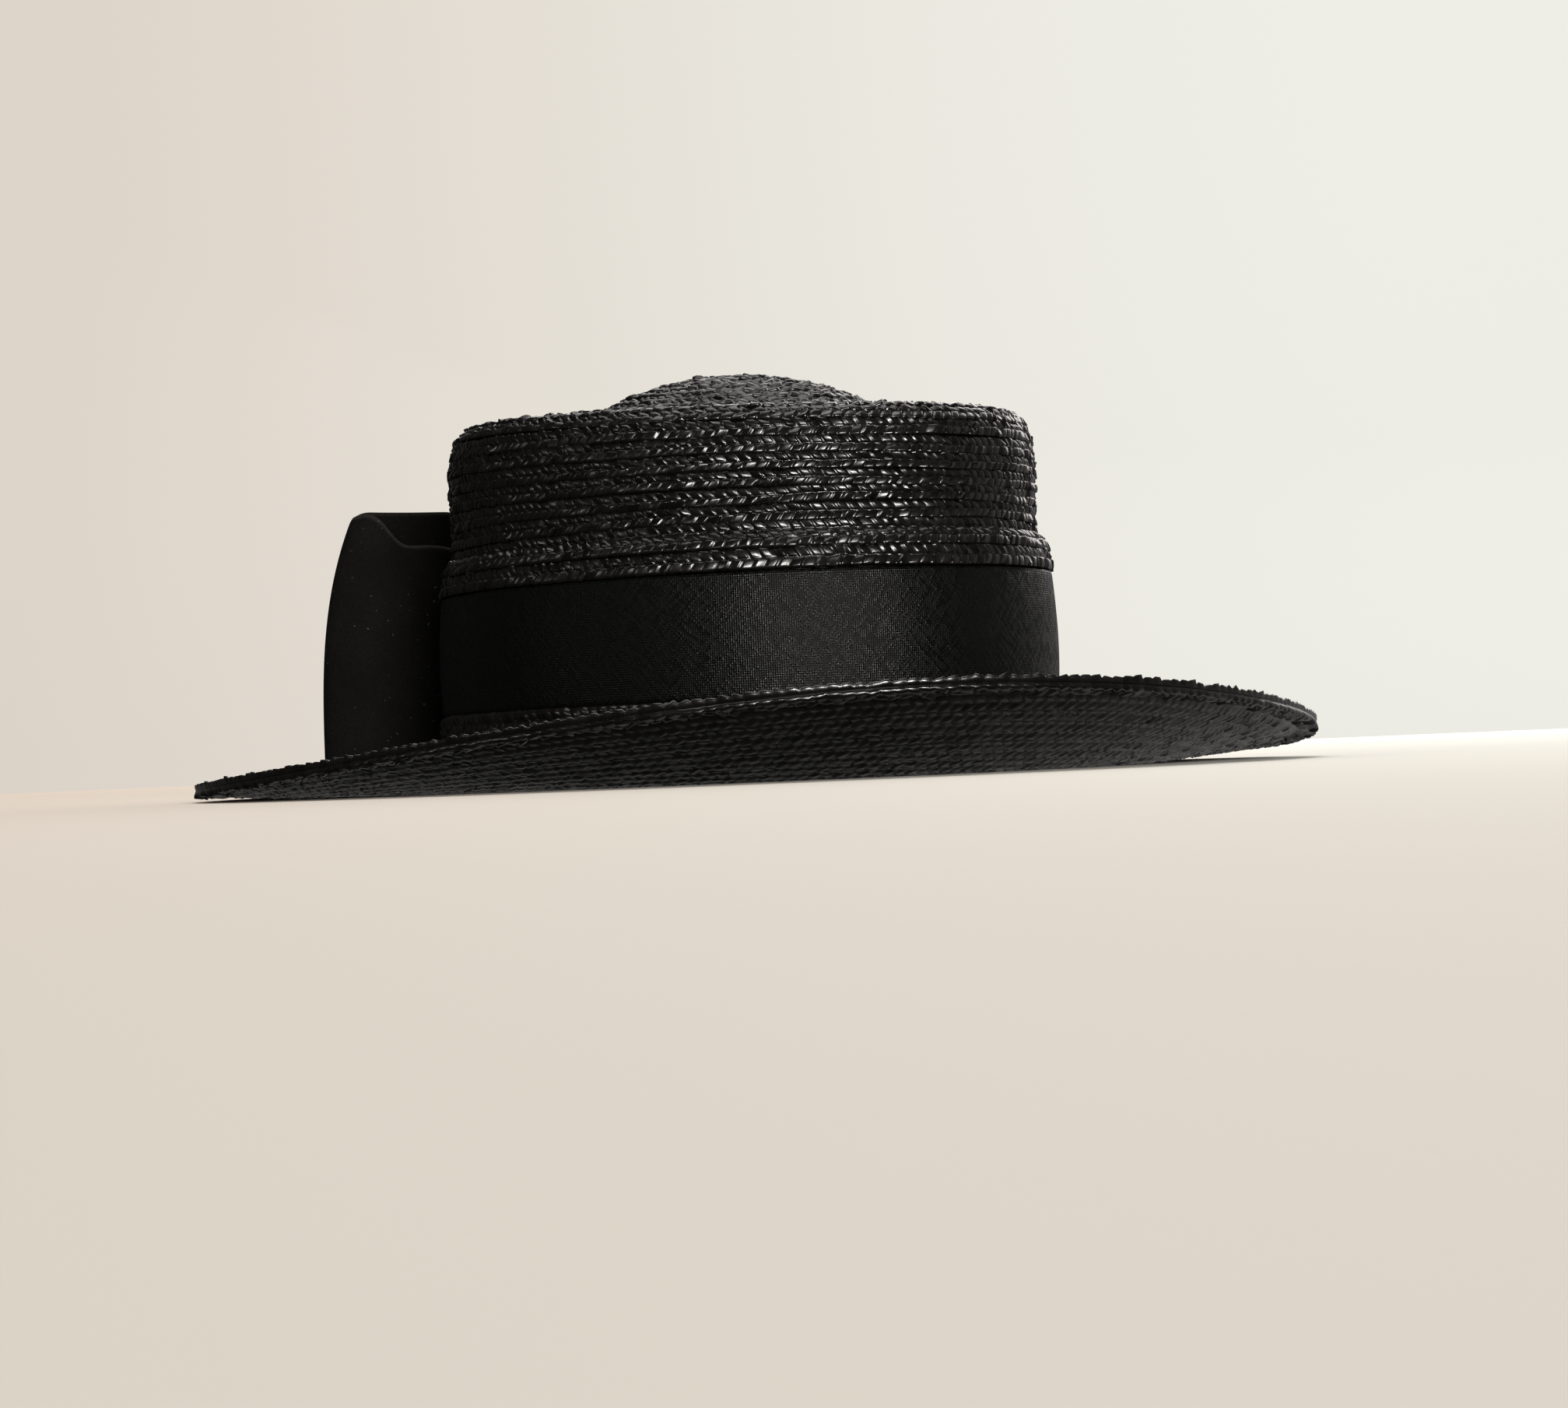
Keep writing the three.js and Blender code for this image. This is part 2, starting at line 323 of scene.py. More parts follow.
class Braid:
    """Rows of plaited straw, each a closed strip that tucks under the row before it."""

    FINE_ANGLES = 721
    FEWEST_PLAITS = 5
    FULLNESS = (0.75, 1.25)
    RISE = 0.18
    HALF_STRAND = 0.13
    FREE_EDGE = 0.95
    EDGE_GIVE = 0.5
    WAVES_ROUND = (2, 5, 11)
    WAVE_FADE = 0.2
    SWELLS_ROUND = (3, 7, 13)
    SWELL_SHARE = 0.8

    def __init__(self, profile, place, straw, seed):
        self.profile = profile
        self.place = place
        self.straw = straw
        self.draw = np.random.default_rng(seed)
        self.points, self.quads, self.uvs = [], [], []
        self.count = 0

    def row(self, start, pitch, outer, inner, section, waviness=1.0, raised=0.0, under=False):
        """One row whose free edge ends a pitch past start; under turns its outer face down."""
        straw, draw = self.straw, self.draw
        across, height, slant, relief, line = np.array(outer + inner, float).T[:, :, None]
        angle_fine = np.linspace(0, 2 * math.pi, self.FINE_ANGLES)
        middle_line = np.full_like(angle_fine, start + pitch / 2)
        middle = self.place(self.profile, middle_line, 0.0, angle_fine)
        arc = np.concatenate([[0], np.cumsum(np.linalg.norm(np.diff(middle, axis=0), axis=1))])
        plaits = max(round(arc[-1] / straw.plait_pitch), self.FEWEST_PLAITS)
        share, full, roll = (np.tile(c, plaits) for c in np.array(section).T)
        plait = np.repeat(np.arange(plaits), len(section))
        strand = line.astype(int), plait[None, :]
        turn = ((plait + share + slant) % plaits) / plaits
        angle = np.interp(turn * arc[-1], arc, angle_fine)
        fullness = draw.uniform(*self.FULLNESS, (2, plaits))
        rise = draw.normal(0, self.RISE, (2, plaits))
        roll_by = draw.normal(0, straw.unruly, (2, plaits))
        pitch_by = draw.normal(0, straw.unruly, (2, plaits))
        from_middle = across - strand_middles(across, relief, line)
        shape = full * fullness[strand] + rise[strand] + roll * roll_by[strand]
        shape = shape + pitch_by[strand] * from_middle / self.HALF_STRAND
        lift = straw.relief * relief * shape
        wave, swell = self._strays(angle)
        stray = waviness * straw.wander
        along = start - straw.overlap + across * (pitch + straw.overlap)
        along = along + stray * wave + self.EDGE_GIVE * lift * (across > self.FREE_EDGE)
        level = height * MM + lift + raised + stray * self.SWELL_SHARE * swell * across
        if under:
            level = -STRAW_WALL - level
        self._weave(self.place(self.profile, along, level, angle), len(section), line[:, 0], under)

    def _strays(self, angle):
        """How far a row strays sideways and upwards round the hat."""
        count = len(self.WAVES_ROUND)
        phase = self.draw.uniform(0, 2 * math.pi, count + len(self.SWELLS_ROUND))
        waves, swells = zip(self.WAVES_ROUND, phase), zip(self.SWELLS_ROUND, phase[count:])
        wave = sum(np.sin(n * angle + p) / (1 + self.WAVE_FADE * n) for n, p in waves)
        swell = sum(np.sin(n * angle + p) for n, p in swells) / len(self.SWELLS_ROUND)
        return wave, swell

    def _weave(self, points, columns, line, under):
        """Adds the faces of a row, with a UV square for each strand."""
        rows, count = points.shape[:2]
        index = np.arange(rows * count).reshape(rows, count)
        next_row = np.roll(index, -1, axis=0)
        corners = [index, next_row, np.roll(next_row, -1, axis=1), np.roll(index, -1, axis=1)]
        i, j = np.meshgrid(np.arange(rows), np.arange(count), indexing="ij")
        low = np.stack([j / columns, 2 * self.count + line[i] + i / (rows + 1)], axis=-1)
        step_u, step_v = np.array([1 / columns, 0]), np.array([0, 1 / (rows + 1)])
        uv = [low, low + step_v, low + step_u + step_v, low + step_u]
        if under:
            corners, uv = corners[::-1], uv[::-1]
        before = sum(len(p) for p in self.points)
        self.quads.append(np.stack(corners, axis=-1).reshape(-1, 4) + before)
        self.uvs.append(np.stack(uv, axis=2).reshape(-1, 2))
        self.points.append(points.reshape(-1, 3))
        self.count += 1

    def build(self, name):
        return mesh_from_arrays(
            name, np.vstack(self.points), np.vstack(self.quads), np.vstack(self.uvs)
        )


def mesh_from_arrays(name, points, quads, uvs):
    """A smooth mesh object at the origin, from its points, faces and UV corners."""
    mesh = bpy.data.meshes.new(name)
    mesh.vertices.add(len(points))
    mesh.vertices.foreach_set("co", points.astype(np.float32).ravel())
    mesh.loops.add(quads.size)
    mesh.loops.foreach_set("vertex_index", quads.astype(np.int32).ravel())
    mesh.polygons.add(len(quads))
    mesh.polygons.foreach_set("loop_start", np.arange(0, quads.size, 4, dtype=np.int32))
    mesh.polygons.foreach_set("use_smooth", np.ones(len(quads), bool))
    mesh.uv_layers.new(name="UVMap").data.foreach_set("uv", uvs.astype(np.float32).ravel())
    mesh.update(calc_edges=True)
    piece = bpy.data.objects.new(name, mesh)
    bpy.context.scene.collection.objects.link(piece)
    return piece


class Socket:
    """A shader value that takes part in Python sums and products."""

    def __init__(self, nodes, socket):
        self.nodes = nodes
        self.socket = socket

    def _math(self, operation, first, second):
        inputs = {0: first, 1: second}
        return self.nodes.node("ShaderNodeMath", {"operation": operation}, inputs)

    def __add__(self, other):
        return self._math("ADD", self, other)

    def __sub__(self, other):
        return self._math("SUBTRACT", self, other)

    def __rsub__(self, other):
        return self._math("SUBTRACT", other, self)

    def __mul__(self, other):
        return self._math("MULTIPLY", self, other)

    def __truediv__(self, other):
        return self._math("DIVIDE", self, other)

    def floor(self):
        return self._math("FLOOR", self, 0)

    def sine(self):
        return self._math("SINE", self, 0)

    def above(self, level):
        return self._math("GREATER_THAN", self, level)

    __radd__ = __add__
    __rmul__ = __mul__


class Nodes:
    """A node tree that is written as Python expressions."""

    def __init__(self, tree):
        self.tree = tree

    def node(self, kind, settings=None, inputs=None, output=0):
        made = self.tree.nodes.new(kind)
        for key, value in (settings or {}).items():
            setattr(made, key, value)
        for key, value in (inputs or {}).items():
            self.feed(self._input(made, key), value)
        sockets = made.outputs
        found = sockets[output] if isinstance(output, int) else next(
            s for s in sockets if output in (s.identifier, s.name)
        )
        return Socket(self, found)

    def _input(self, node, key):
        if isinstance(key, int):
            return node.inputs[key]
        return next(s for s in node.inputs if key in (s.identifier, s.name))

    def feed(self, target, value):
        if isinstance(value, Socket):
            self.tree.links.new(value.socket, target)
        else:
            target.default_value = value

    def split(self, vector):
        return [
            self.node("ShaderNodeSeparateXYZ", None, {"Vector": vector}, axis)
            for axis in ("X", "Y", "Z")
        ]

    def vector(self, x, y, z=0.0):
        return self.node("ShaderNodeCombineXYZ", None, {"X": x, "Y": y, "Z": z})

    def noise(self, vector, scale, detail=2.0, roughness=0.5):
        inputs = {"Vector": vector, "Scale": scale, "Detail": detail, "Roughness": roughness}
        return self.node("ShaderNodeTexNoise", None, inputs, "Fac")

    def mix(self, factor, first, second):
        inputs = {"Factor_Float": factor, "A_Color": first, "B_Color": second}
        return self.node("ShaderNodeMix", {"data_type": "RGBA"}, inputs, "Result_Color")

    def bump(self, height, strength, distance):
        inputs = {"Height": height, "Strength": strength, "Distance": distance}
        return self.node("ShaderNodeBump", None, inputs, "Normal")

    def ease(self, value, low, high, at_low=0.0, at_high=1.0):
        """Eases from one value to the other as the input goes from low to high."""
        inputs = {"Value": value, "From Min": low, "From Max": high}
        inputs |= {"To Min": at_low, "To Max": at_high}
        return self.node("ShaderNodeMapRange", {"interpolation_type": "SMOOTHSTEP"}, inputs)


class Finish(Nodes):
    """A material and the nodes that feed its shader."""

    def __init__(self, name):
        self.material = bpy.data.materials.new(name)
        self.material.use_nodes = True
        super().__init__(self.material.node_tree)
        self.shader = next(n for n in self.tree.nodes if n.type == "BSDF_PRINCIPLED")

    def set(self, **values):
        """Feeds sockets of the shader; an underscore stands for a space in a socket's name."""
        for key, value in values.items():
            self.feed(self.shader.inputs[key.replace("_", " ")], value)

    def uv(self):
        return self.split(self.node("ShaderNodeUVMap", {"uv_map": "UVMap"}))

    def place(self):
        return self.node("ShaderNodeTexCoord", None, None, "Object")


def opaque(colour):
    return (*colour, 1.0)


def straw_finish(straw):
    """Lacquered black straw: each strand its own tone, fibres along it, and dust on the top."""
    finish = Finish("lacquered_straw")
    fibres_along, fibres_across = 14.0, 3.0
    dust_grain, dust_from, dust_full = 60.0, 0.1, 0.11
    smoothest, fibre_depth = 0.13, 0.1 * MM
    u, v, _ = finish.uv()
    strand = finish.vector(u.floor(), v.floor())
    settings = {"noise_dimensions": "3D"}
    tone = finish.node("ShaderNodeTexWhiteNoise", settings, {"Vector": strand}, "Value")
    fibre = finish.noise(finish.vector(u * fibres_along, v * fibres_across), 1.0, 3.0, 0.6)
    place = finish.place()
    _, _, height = finish.split(place)
    settled = finish.ease(height, dust_from, dust_full)
    dust = finish.noise(place, dust_grain, 3.0, 0.6) * 0.06 + settled * 0.14
    shade = tone * 0.5 + fibre * 0.5
    finish.set(
        Base_Color=finish.mix(shade, opaque(straw.dark), opaque(straw.light)),
        Roughness=smoothest + fibre * 0.16 + tone * 0.1 + dust,
        Normal=finish.bump(fibre, 0.3, fibre_depth),
    )
    finish.shader.inputs["Specular IOR Level"].default_value = 0.35
    finish.shader.inputs["Coat Weight"].default_value = 0.15
    finish.shader.inputs["Coat Roughness"].default_value = 0.14
    return finish.material


def band_finish(cloth):
    """Fine cloth cut on the bias: two sets of threads at 45 degrees with a soft sheen."""
    finish = Finish("bias_cloth")
    slub_short, slub_long, nap_grain = 0.9, 0.14, 900.0
    dullest, thread_depth = 0.56, 0.2 * MM
    u, v, _ = finish.uv()
    along = u * cloth.band_length
    up = v * cloth.band_width
    thread = math.sqrt(2) * cloth.thread_pitch
    warp = (along + up) / thread
    weft = (along - up) / thread
    crossing = (warp * (2 * math.pi)).sine() * (weft * (2 * math.pi)).sine()
    slub = finish.noise(finish.vector(warp * slub_short, weft * slub_long), 1.0, 2.0)
    other_slub = finish.noise(finish.vector(warp * slub_long, weft * slub_short, 7.0), 1.0, 2.0)
    nap = finish.noise(finish.vector(along, up), nap_grain, 2.0)
    streak = finish.ease(slub * 0.5 + other_slub * 0.5, 0.4, 0.6)
    finish.set(
        Base_Color=finish.mix(streak, opaque(cloth.band_dark), opaque(cloth.band_light)),
        Roughness=dullest - streak * 0.36 + nap * 0.05,
        Normal=finish.bump(crossing * 0.35 + streak * 0.5 + nap * 0.3, 0.7, thread_depth),
    )
    finish.shader.inputs["Specular IOR Level"].default_value = 0.13
    return finish.material


def bow_finish(cloth):
    """Dull napped cloth with a painted sheen along the ribbon's edges and a few specks of lint."""
    finish = Finish("napped_cloth")
    nap_grain, worn_grain, lint_grain, lint_rare = 1400.0, 55.0, 900.0, 0.83
    edge_sheen_from, nap_depth = 0.92, 0.25 * MM
    place = finish.place()
    nap = finish.noise(place, nap_grain, 3.0, 0.6)
    worn = finish.noise(place, worn_grain, 3.0, 0.55)
    lint = finish.noise(place, lint_grain, 0.0).above(lint_rare)
    cloth_colour = finish.mix(worn * nap * 2.0, opaque(cloth.bow_dark), opaque(cloth.bow_light))
    _, across, _ = finish.uv()
    # Painted sheen: the lint colour is mixed in towards both edges of the ribbon, where the fuzz would
    # catch the light.
    edge_sheen = finish.ease((across - 0.5) * (across - 0.5) * 4.0, edge_sheen_from, 1.0)
    finish.set(
        Base_Color=finish.mix(lint * 0.35 + edge_sheen * nap * 0.3, cloth_colour, opaque(cloth.lint)),
        Roughness=0.78 + nap * 0.18,
        Normal=finish.bump(nap + worn * 0.6, 0.8, nap_depth),
    )
    finish.shader.inputs["Specular IOR Level"].default_value = 0.03
    return finish.material


def room_side(finish, studio, left, right):
    """Eases from 0 at the left of the room, as the camera sees it, to 1 at its right."""
    x, y, _ = finish.split(finish.place())
    across = x * math.cos(studio.azimuth) + y * math.sin(studio.azimuth)
    return finish.ease(across, left, right)


def floor_finish(studio):
    """Pale matt paper with painted light on it: darker and warmer on the camera's left, lighter and
    cooler on its right.
    """
    finish = Finish("floor_paper")
    side = room_side(finish, studio, -0.4, 0.4)
    # Painted light: the floor is darker and warmer to the left, lighter and cooler to the right.
    finish.set(Base_Color=finish.mix(side, opaque(studio.paper_shaded_warm), opaque(studio.paper_lit_cool)))
    finish.shader.inputs["Roughness"].default_value = 0.9
    finish.shader.inputs["Specular IOR Level"].default_value = 0.1
    return finish.material


def wall_finish(studio):
    """Pale paper that glows with painted light: dimmer and warmer on the camera's left, brighter and
    cooler on its right.
    """
    finish = Finish("wall_paper")
    side = room_side(finish, studio, -0.9, 0.7)
    # Painted light: the paper itself glows, dimmer and warmer to the left, brighter and cooler to the
    # right.
    glow = finish.mix(side, opaque(studio.wall_glow_warm), opaque(studio.wall_glow_cool))
    finish.set(Emission_Color=glow, Base_Color=opaque(studio.wall_paper))
    finish.shader.inputs["Emission Strength"].default_value = studio.wall_glow
    finish.shader.inputs["Roughness"].default_value = 0.9
    finish.shader.inputs["Specular IOR Level"].default_value = 0.0
    return finish.material


def dress(piece, finish, slot, *nodes):
    """Gives a finished piece its material, its body and the nodes that it stands for."""
    piece.data.materials.clear()
    piece.data.materials.append(finish)
    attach(piece, BODY)
    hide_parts(*nodes)


def shared_straw(straw):
    return bpy.data.materials.get("lacquered_straw") or straw_finish(straw)


def ribbon(name, steps_along, steps_across, shape, thickness, closed=False):
    """A strip of cloth: a flat grid bent to its shape, then given its thickness and soft edges."""
    bpy.ops.object.select_all(action="DESELECT")
    bpy.ops.mesh.primitive_grid_add(
        x_subdivisions=steps_along, y_subdivisions=steps_across, size=1, location=(0, 0, 0)
    )
    piece = bpy.context.active_object
    piece.name = name
    piece.data.name = name
    flat = np.zeros(len(piece.data.vertices) * 3, np.float32)
    piece.data.vertices.foreach_get("co", flat)
    flat = flat.reshape(-1, 3)
    bent = shape(flat[:, 0] + 0.5, flat[:, 1] + 0.5)
    piece.data.vertices.foreach_set("co", np.asarray(bent, np.float32).ravel())
    piece.data.update()
    if closed:
        bpy.ops.object.mode_set(mode="EDIT")
        bpy.ops.mesh.select_all(action="SELECT")
        bpy.ops.mesh.remove_doubles(threshold=MERGE_WITHIN)
        bpy.ops.object.mode_set(mode="OBJECT")
    wall = piece.modifiers.new("wall", "SOLIDIFY")
    wall.thickness = thickness
    wall.offset = 0
    wall.use_even_offset = True
    soften = piece.modifiers.new("soften", "SUBSURF")
    soften.levels = soften.render_levels = 1
    for modifier in ("wall", "soften"):
        bpy.ops.object.modifier_apply(modifier=modifier)
    bpy.ops.object.shade_smooth()
    return piece


class HatStraw(bpy.types.PropertyGroup):
    row_pitch: bpy.props.FloatProperty(
        name="Row pitch", description="Distance between braid rows",
        default=5.1 * MM, unit="LENGTH", precision=4,
    )
    overlap: bpy.props.FloatProperty(
        name="Overlap", description="How far a row tucks under the row before it",
        default=1.8 * MM, unit="LENGTH", precision=4,
    )
    plait_pitch: bpy.props.FloatProperty(
        name="Plait pitch", description="Length of one plait along a row",
        default=3.3 * MM, unit="LENGTH", precision=4,
    )
    relief: bpy.props.FloatProperty(
        name="Relief", description="Height of a strand over the groove beside it",
        default=0.38 * MM, unit="LENGTH", precision=5,
    )
    unruly: bpy.props.FloatProperty(
        name="Unruly", description="How far single strands tip out of line, as a share of the relief",
        default=0.5,
    )
    wander: bpy.props.FloatProperty(
        name="Wander", description="How far a hand-sewn row strays from its line",
        default=0.3 * MM, unit="LENGTH", precision=5,
    )
    dark: bpy.props.FloatVectorProperty(
        name="Dark straw", description="Colour of the darkest strands",
        default=(0.0007, 0.00065, 0.00055), subtype="COLOR", min=0, max=1,
    )
    light: bpy.props.FloatVectorProperty(
        name="Light straw", description="Colour of the lightest strands",
        default=(0.0030, 0.0028, 0.0024), subtype="COLOR", min=0, max=1,
    )


class HatCloth(bpy.types.PropertyGroup):
    band_width: bpy.props.FloatProperty(
        name="Band width", description="Height of the band on the crown",
        default=34.1 * MM, unit="LENGTH", precision=4,
    )
    band_length: bpy.props.FloatProperty(
        name="Band length", description="Length of the band round the crown",
        default=0.589, unit="LENGTH", precision=4,
    )
    band_thickness: bpy.props.FloatProperty(
        name="Band thickness", description="Thickness of the band's cloth",
        default=1.1 * MM, unit="LENGTH", precision=4,
    )
    thread_pitch: bpy.props.FloatProperty(
        name="Thread pitch", description="Distance between the band's threads",
        default=0.9 * MM, unit="LENGTH", precision=5,
    )
    bow_thickness: bpy.props.FloatProperty(
        name="Bow thickness", description="Thickness of the folded ribbon",
        default=1.6 * MM, unit="LENGTH", precision=4,
    )
    band_dark: bpy.props.FloatVectorProperty(
        name="Dark band", description="Darkest colour of the band",
        default=(0.0002, 0.00025, 0.00025), subtype="COLOR", min=0, max=1,
    )
    band_light: bpy.props.FloatVectorProperty(
        name="Light band", description="Lightest colour of the band",
        default=(0.0010, 0.0011, 0.0010), subtype="COLOR", min=0, max=1,
    )
    bow_dark: bpy.props.FloatVectorProperty(
        name="Dark bow", description="Darkest colour of the bow",
        default=(0.0009, 0.0008, 0.0007), subtype="COLOR", min=0, max=1,
    )
    bow_light: bpy.props.FloatVectorProperty(
        name="Light bow", description="Lightest colour of the bow",
        default=(0.0046, 0.0044, 0.0040), subtype="COLOR", min=0, max=1,
    )
    # Colour of the lint specks, and of the painted sheen along the bow's edges.
    lint: bpy.props.FloatVectorProperty(
        name="Lint", description="Colour of the lint on the bow",
        default=(0.05, 0.048, 0.044), subtype="COLOR", min=0, max=1,
    )


class HatStudio(bpy.types.PropertyGroup):
    azimuth: bpy.props.FloatProperty(
        name="Azimuth", description="Direction of the camera round the hat, from its front",
        default=math.radians(-27), subtype="ANGLE",
    )
    distance: bpy.props.FloatProperty(
        name="Distance", description="Distance of the camera from the hat's axis",
        default=1.043, unit="LENGTH",
    )
    eye_height: bpy.props.FloatProperty(
        name="Eye height", description="Height of the camera over the floor",
        default=8 * MM, unit="LENGTH", precision=4,
    )
    roll: bpy.props.FloatProperty(
        name="Roll", description="Turn of the camera about its own axis",
        default=math.radians(2.4), subtype="ANGLE",
    )
    lens: bpy.props.FloatProperty(
        name="Lens", description="Focal length for a 36 mm sensor", default=82.18,
    )
    axis_x: bpy.props.FloatProperty(
        name="Axis x", description="Column where the hat's axis shows", default=964,
    )
    axis_y: bpy.props.FloatProperty(
        name="Axis y", description="Row where eye height shows on the hat's axis", default=966,
    )
    # Floor colours with painted light: the warm one is the shaded left side, the cool one the lit right
    # side.
    paper_shaded_warm: bpy.props.FloatVectorProperty(
        name="Warm paper", description="Colour of the floor on its warm side",
        default=(0.57, 0.50, 0.44), subtype="COLOR", min=0, max=1,
    )
    paper_lit_cool: bpy.props.FloatVectorProperty(
        name="Cool paper", description="Colour of the floor on its other side",
        default=(0.76, 0.755, 0.72), subtype="COLOR", min=0, max=1,
    )
    # The wall's glow is painted light: the warm colour is its dim left side, the cool one its bright
    # right side.
    wall_glow_warm: bpy.props.FloatVectorProperty(
        name="Warm wall", description="Colour of the wall on its warm side",
        default=(0.65, 0.58, 0.51), subtype="COLOR", min=0, max=1,
    )
    wall_glow_cool: bpy.props.FloatVectorProperty(
        name="Cool wall", description="Colour of the wall on its other side",
        default=(0.79, 0.79, 0.73), subtype="COLOR", min=0, max=1,
    )
    wall_paper: bpy.props.FloatVectorProperty(
        name="Wall paper", description="Colour of the wall's own paper",
        default=(0.03, 0.03, 0.03), subtype="COLOR", min=0, max=1,
    )
    # The wall's paper glows with this strength; no lamp stands behind it.
    wall_glow: bpy.props.FloatProperty(
        name="Wall glow", description="How strongly the wall is lit from behind", default=1.0,
    )
    air_low: bpy.props.FloatProperty(
        name="Low air", description="Strength of the light all round on its dim side", default=0.03,
    )
    air_high: bpy.props.FloatProperty(
        name="High air", description="Strength of the light all round on its bright side", default=0.32,
    )


class HAT_OT_crown(bpy.types.Operator):
    """Lays the crown's braid rows from the middle of the top down to the head opening"""

    bl_idname = "hat.crown"
    bl_label = "Crown"

    RIM_INSET = 8 * MM
    RIM_END = 99.5 * MM
    SIDE_END = 60 * MM
    SEEDS = {"crown_dome": 11, "crown_rim": 14, "crown_side": 12, "crown_foot": 13}

    def execute(self, context):
        straw = context.scene.hat_straw
        finish = shared_straw(straw)
        profile = crown_profile()
        rows = round(profile.length / straw.row_pitch)
        pitch = profile.length / rows
        parts = {
            name: Braid(profile, crown_place, straw, seed) for name, seed in self.SEEDS.items()
        }
        for k in range(rows):
            radius, z = profile.at((k + 1) * pitch, 0.0)
            if z < self.SIDE_END:
                braid = parts["crown_foot"]
                braid.row(k * pitch, pitch, COVERED_OUTER_FACE, PLAIN_INNER_FACE, COVERED_STRAND)
                continue
            name = "crown_side"
            if radius < DOME_FOOT:
                name = "crown_dome"
            elif radius < HEAD_MEAN - self.RIM_INSET or z > self.RIM_END:
                name = "crown_rim"
            parts[name].row(k * pitch, pitch, FINE_OUTER_FACE, PLAIN_INNER_FACE, FINE_STRAND)
        for name, braid in parts.items():
            dress(braid.build(name), finish, "straw", "crown")
        return {"FINISHED"}


class HAT_OT_lip(bpy.types.Operator):
    """Lays the two proud rows over the band's top edge"""

    bl_idname = "hat.lip"
    bl_label = "Lip"

    ROWS = 2
    SEED = 21
    WAVINESS = 0.5

    def execute(self, context):
        straw = context.scene.hat_straw
        finish = shared_straw(straw)
        profile = profile_of(LIP_STATIONS)
        pitch = profile.length / self.ROWS
        braid = Braid(profile, lip_place, straw, self.SEED)
        for k in range(self.ROWS):
            braid.row(k * pitch, pitch, FINE_OUTER_FACE, PLAIN_INNER_FACE, FINE_STRAND, self.WAVINESS)
        dress(braid.build("lip_rows"), finish, "straw", "crown_lip")
        return {"FINISHED"}


class HAT_OT_brim(bpy.types.Operator):
    """Lays the brim's rows from the collar to the doubled edge"""

    bl_idname = "hat.brim"
    bl_label = "Brim"

    EDGE_RAISE = 0.45 * MM
    EDGE_WAVINESS = 0.15
    SEEDS = {"brim_inner": 31, "brim_middle": 32, "brim_outer": 33}
    # Shares of the rows where the next of the three pieces starts
    SPLITS = (0.45, 0.74)

    def execute(self, context):
        straw = context.scene.hat_straw
        finish = shared_straw(straw)
        profile = profile_of(BRIM_STATIONS)
        rows = round(profile.length / straw.row_pitch)
        pitch = profile.length / rows
        parts = {
            name: Braid(profile, brim_place, straw, seed) for name, seed in self.SEEDS.items()
        }
        braids = list(parts.values())
        for k in range(rows - 1):
            braid = braids[sum(k >= rows * share for share in self.SPLITS)]
            braid.row(k * pitch, pitch, BRIM_TOP_FACE, BRIM_UNDER_FACE, BRIM_STRAND)
        for under in (False, True):
            braids[-1].row(
                (rows - 1) * pitch, pitch, BRIM_TOP_FACE, EDGE_INNER_FACE, BRIM_STRAND,
                self.EDGE_WAVINESS, self.EDGE_RAISE, under,
            )
        for name, braid in parts.items():
            dress(braid.build(name), finish, "straw", "brim")
        return {"FINISHED"}


class HAT_OT_band(bpy.types.Operator):
    """Wraps the cloth band round the crown"""

    bl_idname = "hat.band"
    bl_label = "Band"

    # Height and distance of the band's middle outside the head oval, in mm
    SECTION = ((21.9, 2.2), (30, 2.55), (40, 2.55), (49, 2.1), (55.9, 1.5))
    STEPS_ROUND = 240
    STEPS_UP = 18
    RIPPLE = 0.16 * MM
    RIPPLES_ROUND = 9

    def execute(self, context):
        cloth = context.scene.hat_cloth
        section = np.array(self.SECTION) * MM
        line = spline(section, LINE_SPACING)

        def shape(along, up):
            angle = 2 * math.pi * along + math.pi
            z = section[0, 0] + up * (section[-1, 0] - section[0, 0])
            out = np.interp(z, line[:, 0], line[:, 1])
            ripple = self.RIPPLE * np.sin(self.RIPPLES_ROUND * angle + 2 * up)
            out = out + ripple * np.sin(math.pi * up)
            x, y = on_oval(HEAD_MEAN + out, angle)
            return np.stack([x, y, z], axis=-1)

        band = ribbon("band_cloth", self.STEPS_ROUND, self.STEPS_UP, shape, cloth.band_thickness, True)
        dress(band, band_finish(cloth), "band_cloth", "band")
        return {"FINISHED"}


